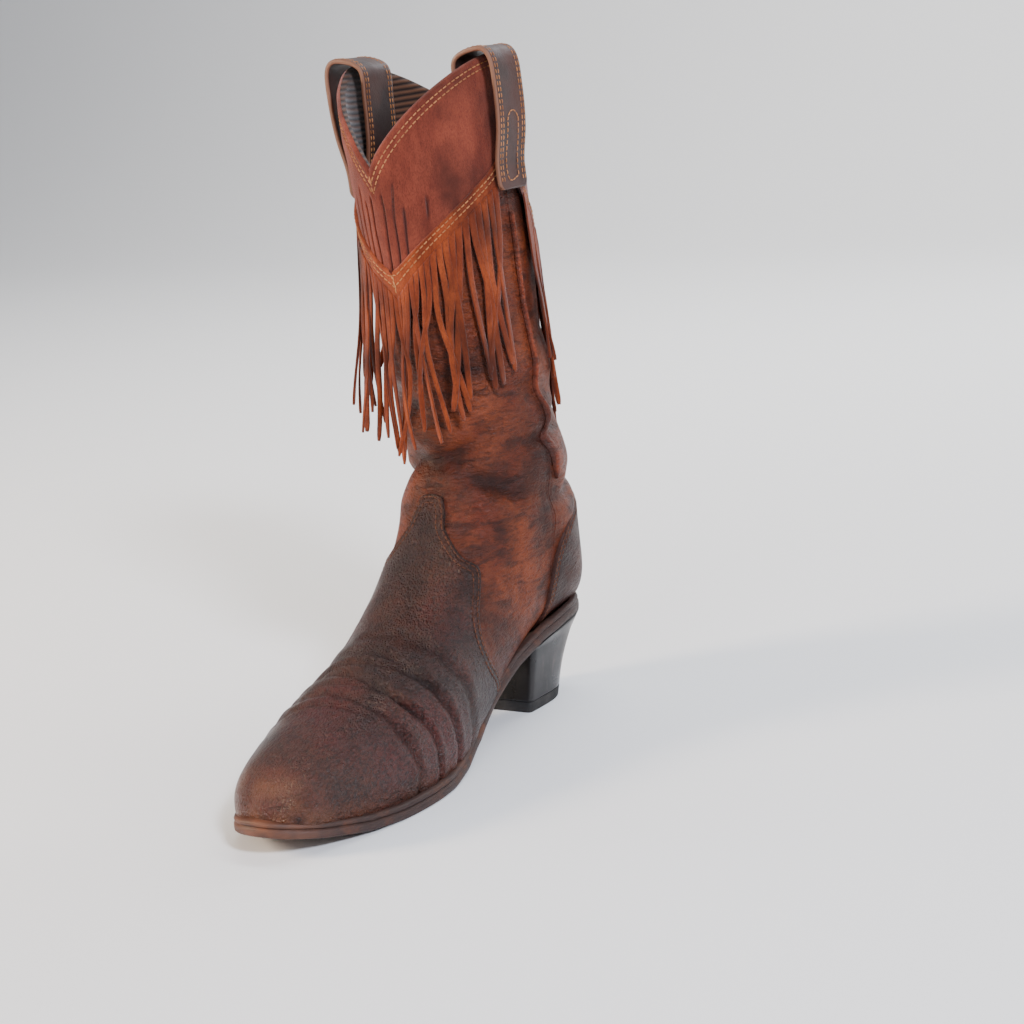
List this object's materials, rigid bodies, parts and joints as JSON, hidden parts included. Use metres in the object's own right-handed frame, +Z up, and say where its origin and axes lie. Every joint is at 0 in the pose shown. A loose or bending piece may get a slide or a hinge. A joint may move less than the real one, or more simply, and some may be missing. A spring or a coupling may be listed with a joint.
{
  "type": "western boot",
  "caption": "Right western boot with a fringed suede yoke, scalloped top, pull straps, pebbled vamp and undershot heel.",
  "frame": {"origin": "on the floor, under the middle of the whole boot's box", "axes": "+Z up, -Y towards the toe, +X towards the inner (medial) side of this right boot"},
  "size_m": [0.1154, 0.2928, 0.3523],
  "materials": {
    "vamp_leather": "pebbled, waxed, creased",
    "shaft_leather": "smooth, semi-matt",
    "suede": "napped suede",
    "strap_leather": "smooth, raw edges",
    "ribbed_lining": "ribbed",
    "stiffener": "impregnated canvas",
    "sole_leather": "dressed edge, worn",
    "insole_leather": "plain",
    "heel_lacquer": "black edge dressing",
    "rubber": "matt",
    "steel": "plain",
    "cork": "granulated cork"
  },
  "bodies": {
    "boot": {"vamp": "vamp_leather", "counter_cover": "shaft_leather", "shaft_front": "shaft_leather", "shaft_back": "shaft_leather", "toe_puff": "stiffener", "vamp_lining": "ribbed_lining", "counter_stiffener": "stiffener", "lining_front": "ribbed_lining", "lining_back": "ribbed_lining", "yoke_front": "suede", "fringe_band_front": "suede", "yoke_back": "suede", "fringe_band_back": "suede", "pull_strap_medial": "strap_leather", "pull_strap_lateral": "strap_leather", "side_piping_medial": "shaft_leather", "side_piping_lateral": "shaft_leather", "outsole": "sole_leather", "welt": "sole_leather", "cork_filler": "cork", "insole": "insole_leather", "sock_liner": "ribbed_lining", "shank": "steel", "heel_top_lift": "rubber", "heel_lift_1": "heel_lacquer", "heel_lift_2": "heel_lacquer", "heel_lift_3": "heel_lacquer", "heel_lift_4": "heel_lacquer", "heel_lift_5": "heel_lacquer", "heel_nail_1": "steel", "heel_nail_2": "steel", "heel_nail_3": "steel"},
    "fringe_front_01": {"fringe_front_01": "suede"},
    "fringe_front_02": {"fringe_front_02": "suede"},
    "fringe_front_03": {"fringe_front_03": "suede"},
    "fringe_front_04": {"fringe_front_04": "suede"},
    "fringe_front_05": {"fringe_front_05": "suede"},
    "fringe_front_06": {"fringe_front_06": "suede"},
    "fringe_front_07": {"fringe_front_07": "suede"},
    "fringe_front_08": {"fringe_front_08": "suede"},
    "fringe_front_09": {"fringe_front_09": "suede"},
    "fringe_front_10": {"fringe_front_10": "suede"},
    "fringe_front_11": {"fringe_front_11": "suede"},
    "fringe_front_12": {"fringe_front_12": "suede"},
    "fringe_back_01": {"fringe_back_01": "suede"},
    "fringe_back_02": {"fringe_back_02": "suede"},
    "fringe_back_03": {"fringe_back_03": "suede"},
    "fringe_back_04": {"fringe_back_04": "suede"},
    "fringe_back_05": {"fringe_back_05": "suede"},
    "fringe_back_06": {"fringe_back_06": "suede"},
    "fringe_back_07": {"fringe_back_07": "suede"},
    "fringe_back_08": {"fringe_back_08": "suede"},
    "fringe_back_09": {"fringe_back_09": "suede"},
    "fringe_back_10": {"fringe_back_10": "suede"},
    "fringe_back_11": {"fringe_back_11": "suede"},
    "fringe_back_12": {"fringe_back_12": "suede"}
  },
  "joints": [
    {"name": "fringe_front_01_swing", "type": "hinge", "parent": "boot", "child": "fringe_front_01", "pos_m": [-0.04123, 0.06818, 0.2812], "axis": [-0.3856, 0.9226, 0], "range_deg": [0, 60]},
    {"name": "fringe_front_02_swing", "type": "hinge", "parent": "boot", "child": "fringe_front_02", "pos_m": [-0.03544, 0.05679, 0.27267], "axis": [-0.5151, 0.8571, 0], "range_deg": [0, 60]},
    {"name": "fringe_front_03_swing", "type": "hinge", "parent": "boot", "child": "fringe_front_03", "pos_m": [-0.028, 0.04647, 0.26409], "axis": [-0.6539, 0.7566, 0], "range_deg": [0, 60]},
    {"name": "fringe_front_04_swing", "type": "hinge", "parent": "boot", "child": "fringe_front_04", "pos_m": [-0.01944, 0.03844, 0.25548], "axis": [-0.804, 0.5947, 0], "range_deg": [0, 60]},
    {"name": "fringe_front_05_swing", "type": "hinge", "parent": "boot", "child": "fringe_front_05", "pos_m": [-0.01032, 0.03344, 0.2468], "axis": [-0.94, 0.3412, 0], "range_deg": [0, 60]},
    {"name": "fringe_front_06_swing", "type": "hinge", "parent": "boot", "child": "fringe_front_06", "pos_m": [-0.00138, 0.03171, 0.23811], "axis": [-0.9999, 0.0117, 0], "range_deg": [0, 60]},
    {"name": "fringe_front_07_swing", "type": "hinge", "parent": "boot", "child": "fringe_front_07", "pos_m": [0.00655, 0.0317, 0.23831], "axis": [-0.9999, -0.0118, 0], "range_deg": [0, 60]},
    {"name": "fringe_front_08_swing", "type": "hinge", "parent": "boot", "child": "fringe_front_08", "pos_m": [0.01403, 0.03345, 0.24717], "axis": [-0.915, -0.4035, 0], "range_deg": [0, 60]},
    {"name": "fringe_front_09_swing", "type": "hinge", "parent": "boot", "child": "fringe_front_09", "pos_m": [0.02154, 0.03848, 0.25593], "axis": [-0.7383, -0.6744, 0], "range_deg": [0, 60]},
    {"name": "fringe_front_10_swing", "type": "hinge", "parent": "boot", "child": "fringe_front_10", "pos_m": [0.02844, 0.04654, 0.26458], "axis": [-0.5677, -0.8232, 0], "range_deg": [0, 60]},
    {"name": "fringe_front_11_swing", "type": "hinge", "parent": "boot", "child": "fringe_front_11", "pos_m": [0.03431, 0.05687, 0.27316], "axis": [-0.4218, -0.9067, 0], "range_deg": [0, 60]},
    {"name": "fringe_front_12_swing", "type": "hinge", "parent": "boot", "child": "fringe_front_12", "pos_m": [0.03866, 0.06825, 0.28167], "axis": [-0.2889, -0.9574, 0], "range_deg": [0, 40]},
    {"name": "fringe_back_01_swing", "type": "hinge", "parent": "boot", "child": "fringe_back_01", "pos_m": [0.0393, 0.10275, 0.27452], "axis": [0.2427, -0.9701, 0], "range_deg": [0, 60]},
    {"name": "fringe_back_02_swing", "type": "hinge", "parent": "boot", "child": "fringe_back_02", "pos_m": [0.03538, 0.1142, 0.25966], "axis": [0.4061, -0.9138, 0], "range_deg": [0, 60]},
    {"name": "fringe_back_03_swing", "type": "hinge", "parent": "boot", "child": "fringe_back_03", "pos_m": [0.02977, 0.12413, 0.24475], "axis": [0.5801, -0.8146, 0], "range_deg": [0, 60]},
    {"name": "fringe_back_04_swing", "type": "hinge", "parent": "boot", "child": "fringe_back_04", "pos_m": [0.02282, 0.13181, 0.22979], "axis": [0.7616, -0.6481, 0], "range_deg": [0, 60]},
    {"name": "fringe_back_05_swing", "type": "hinge", "parent": "boot", "child": "fringe_back_05", "pos_m": [0.01494, 0.13681, 0.21482], "axis": [0.9157, -0.4018, 0], "range_deg": [0, 60]},
    {"name": "fringe_back_06_swing", "type": "hinge", "parent": "boot", "child": "fringe_back_06", "pos_m": [0.00674, 0.13895, 0.1999], "axis": [0.9968, -0.0797, 0], "range_deg": [0, 60]},
    {"name": "fringe_back_07_swing", "type": "hinge", "parent": "boot", "child": "fringe_back_07", "pos_m": [-0.00211, 0.13894, 0.19978], "axis": [0.9975, 0.07, 0], "range_deg": [0, 60]},
    {"name": "fringe_back_08_swing", "type": "hinge", "parent": "boot", "child": "fringe_back_08", "pos_m": [-0.01162, 0.13679, 0.2146], "axis": [0.9344, 0.3563, 0], "range_deg": [0, 60]},
    {"name": "fringe_back_09_swing", "type": "hinge", "parent": "boot", "child": "fringe_back_09", "pos_m": [-0.02079, 0.13176, 0.22949], "axis": [0.8081, 0.5891, 0], "range_deg": [0, 60]},
    {"name": "fringe_back_10_swing", "type": "hinge", "parent": "boot", "child": "fringe_back_10", "pos_m": [-0.02904, 0.12407, 0.24437], "axis": [0.651, 0.7591, 0], "range_deg": [0, 60]},
    {"name": "fringe_back_11_swing", "type": "hinge", "parent": "boot", "child": "fringe_back_11", "pos_m": [-0.03601, 0.11412, 0.25923], "axis": [0.4963, 0.8681, 0], "range_deg": [0, 60]},
    {"name": "fringe_back_12_swing", "type": "hinge", "parent": "boot", "child": "fringe_back_12", "pos_m": [-0.04136, 0.10268, 0.27406], "axis": [0.3497, 0.9369, 0], "range_deg": [0, 60]}
  ]
}
